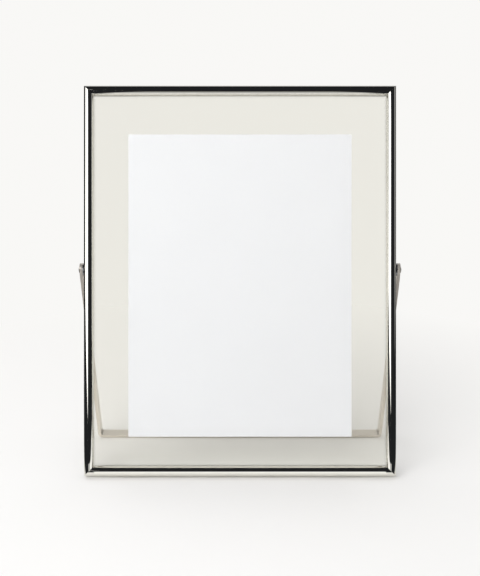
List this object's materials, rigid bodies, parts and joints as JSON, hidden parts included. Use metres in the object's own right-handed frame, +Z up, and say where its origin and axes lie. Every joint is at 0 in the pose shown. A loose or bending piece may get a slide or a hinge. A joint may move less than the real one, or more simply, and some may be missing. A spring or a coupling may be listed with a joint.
{
  "type": "glass picture frame",
  "caption": "Standing picture frame: slim polished metal rails round two panes of glass with a bare card floating between them, leaning on a bail stand hinged to its sides.",
  "frame": {"origin": "on the table, under the middle of the whole frame", "axes": "+Z up, +X to the right as seen from the front, and +Y from the face of the frame towards its stand"},
  "size_m": [0.1868, 0.0686, 0.2179],
  "materials": {
    "rail_metal": "polished nickel plate",
    "stand_metal": "satin nickel plate",
    "key_steel": "plain zinc-plated steel",
    "clear_glass": "clear float glass with ground edges",
    "card_stock": "smooth matt card"
  },
  "bodies": {
    "frame": {"bottom_rail": "rail_metal", "left_rail": "rail_metal", "right_rail": "rail_metal", "bottom_left_key": "key_steel", "bottom_right_key": "key_steel", "front_glass": "clear_glass", "rear_glass": "clear_glass", "photo_card": "card_stock", "left_pivot_screw": "stand_metal", "right_pivot_screw": "stand_metal", "left_pivot_washer": "key_steel", "right_pivot_washer": "key_steel", "left_pivot_nut_plate": "key_steel", "right_pivot_nut_plate": "key_steel"},
    "top_rail": {"top_rail": "rail_metal", "top_left_key": "key_steel", "top_right_key": "key_steel"},
    "stand": {"stand_bail": "stand_metal"}
  },
  "joints": [
    {"name": "stand_swing", "type": "hinge", "parent": "frame", "child": "stand", "pos_m": [0, 0.00204, 0.11518], "axis": [1, 0, 0], "range_deg": [-17, 145]},
    {"name": "top_rail_lift", "type": "slide", "parent": "frame", "child": "top_rail", "axis": [0, 0.2716, 0.9624], "range_m": [0, 0.022]}
  ]
}
